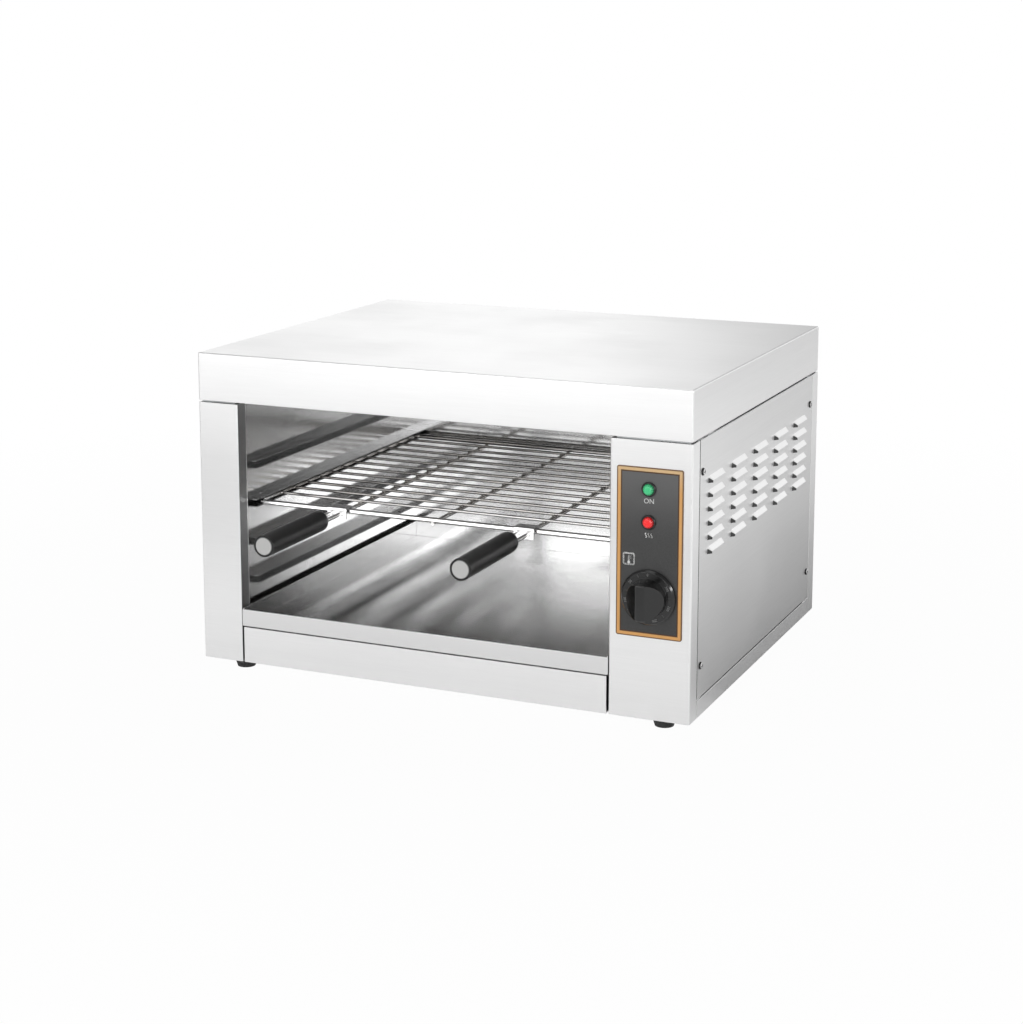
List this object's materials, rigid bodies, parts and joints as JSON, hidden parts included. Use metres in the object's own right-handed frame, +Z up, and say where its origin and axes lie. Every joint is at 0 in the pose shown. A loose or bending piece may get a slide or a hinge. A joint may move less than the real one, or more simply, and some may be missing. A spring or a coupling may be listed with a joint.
{
  "type": "cheese melter",
  "caption": "Countertop cheese melter: open-fronted steel cabinet with a sliding wire rack on side runners, a crumb tray, a hood over elements and a side control column.",
  "frame": {"origin": "on the counter, below the middle of the whole outline from the handle ends to the cable gland", "axes": "+Z up, front faces -Y, +X to the right seen from the front"},
  "size_m": [0.5034, 0.526, 0.314],
  "materials": {
    "stainless_shell": "satin brushed",
    "stainless_liner": "bright brushed",
    "stainless_tray": "smooth, nearly mirror bright",
    "galvanised_base": "dull",
    "chromed_wire": "chromed",
    "grip_plastic": "satin black",
    "grip_cap": "satin",
    "knob_plastic": "glossy black",
    "panel_print": "printed overlay, grey in an orange border",
    "lens_green": "clear coloured",
    "lens_red": "clear coloured",
    "lamp_black": "black",
    "element_sheath": "heat darkened",
    "screw_steel": "bright",
    "thermostat_case": "moulded",
    "terminal_cream": "moulded",
    "foot_rubber": "matt black"
  },
  "bodies": {
    "cabinet": {"hood_cover": "stainless_shell", "left_casing": "stainless_shell", "control_column": "stainless_shell", "right_rear_post": "stainless_shell", "louvred_cover": "stainless_shell", "back_panel": "stainless_shell", "lower_front_panel": "stainless_shell", "top_deck": "galvanised_base", "base_pan": "stainless_shell", "chamber_floor": "stainless_liner", "left_liner": "stainless_liner", "right_liner": "stainless_liner", "back_liner": "stainless_liner", "element_reflector": "stainless_liner", "heating_element_front": "element_sheath", "heating_element_middle": "element_sheath", "heating_element_rear": "element_sheath", "element_nuts": "screw_steel", "element_hanger_left": "galvanised_base", "element_hanger_right": "galvanised_base", "control_panel": "panel_print", "thermostat_body": "thermostat_case", "lamp_lens_green": "lens_green", "lamp_lens_red": "lens_red", "lamp_bezels": "lamp_black", "lamp_bodies": "lamp_black", "sensor_bulb": "screw_steel", "sensor_clips": "galvanised_base", "terminal_block": "terminal_cream", "cable_gland": "lamp_black", "gland_nut": "lamp_black", "panel_screws": "screw_steel", "foot_screws": "screw_steel", "runner_left_1": "stainless_liner", "runner_right_1": "stainless_liner", "runner_left_2": "stainless_liner", "runner_right_2": "stainless_liner", "runner_left_3": "stainless_liner", "runner_right_3": "stainless_liner", "runner_left_4": "stainless_liner", "runner_right_4": "stainless_liner", "foot_front_left": "foot_rubber", "foot_front_right": "foot_rubber", "foot_back_left": "foot_rubber", "foot_back_right": "foot_rubber"},
    "crumb_tray": {"crumb_tray": "stainless_tray"},
    "rack": {"rack_frame": "chromed_wire", "rack_cross_wires": "chromed_wire", "rack_support_wires": "chromed_wire", "handle_bracket_left": "chromed_wire", "handle_bracket_right": "chromed_wire", "handle_wires_left": "chromed_wire", "handle_wires_right": "chromed_wire", "handle_grip_left": "grip_plastic", "handle_grip_right": "grip_plastic", "handle_cap_left": "grip_cap", "handle_cap_right": "grip_cap"},
    "knob": {"thermostat_knob": "knob_plastic", "thermostat_spindle": "screw_steel"}
  },
  "joints": [
    {"name": "crumb_tray_slide", "type": "slide", "parent": "cabinet", "child": "crumb_tray", "axis": [0, -1, 0], "range_m": [0, 0.36]},
    {"name": "rack_slide", "type": "slide", "parent": "cabinet", "child": "rack", "axis": [0, -1, 0], "range_m": [0, 0.3]},
    {"name": "thermostat_turn", "type": "hinge", "parent": "cabinet", "child": "knob", "pos_m": [0.211, -0.16, 0.1254], "axis": [0, 1, 0], "range_deg": [0, 300]}
  ]
}
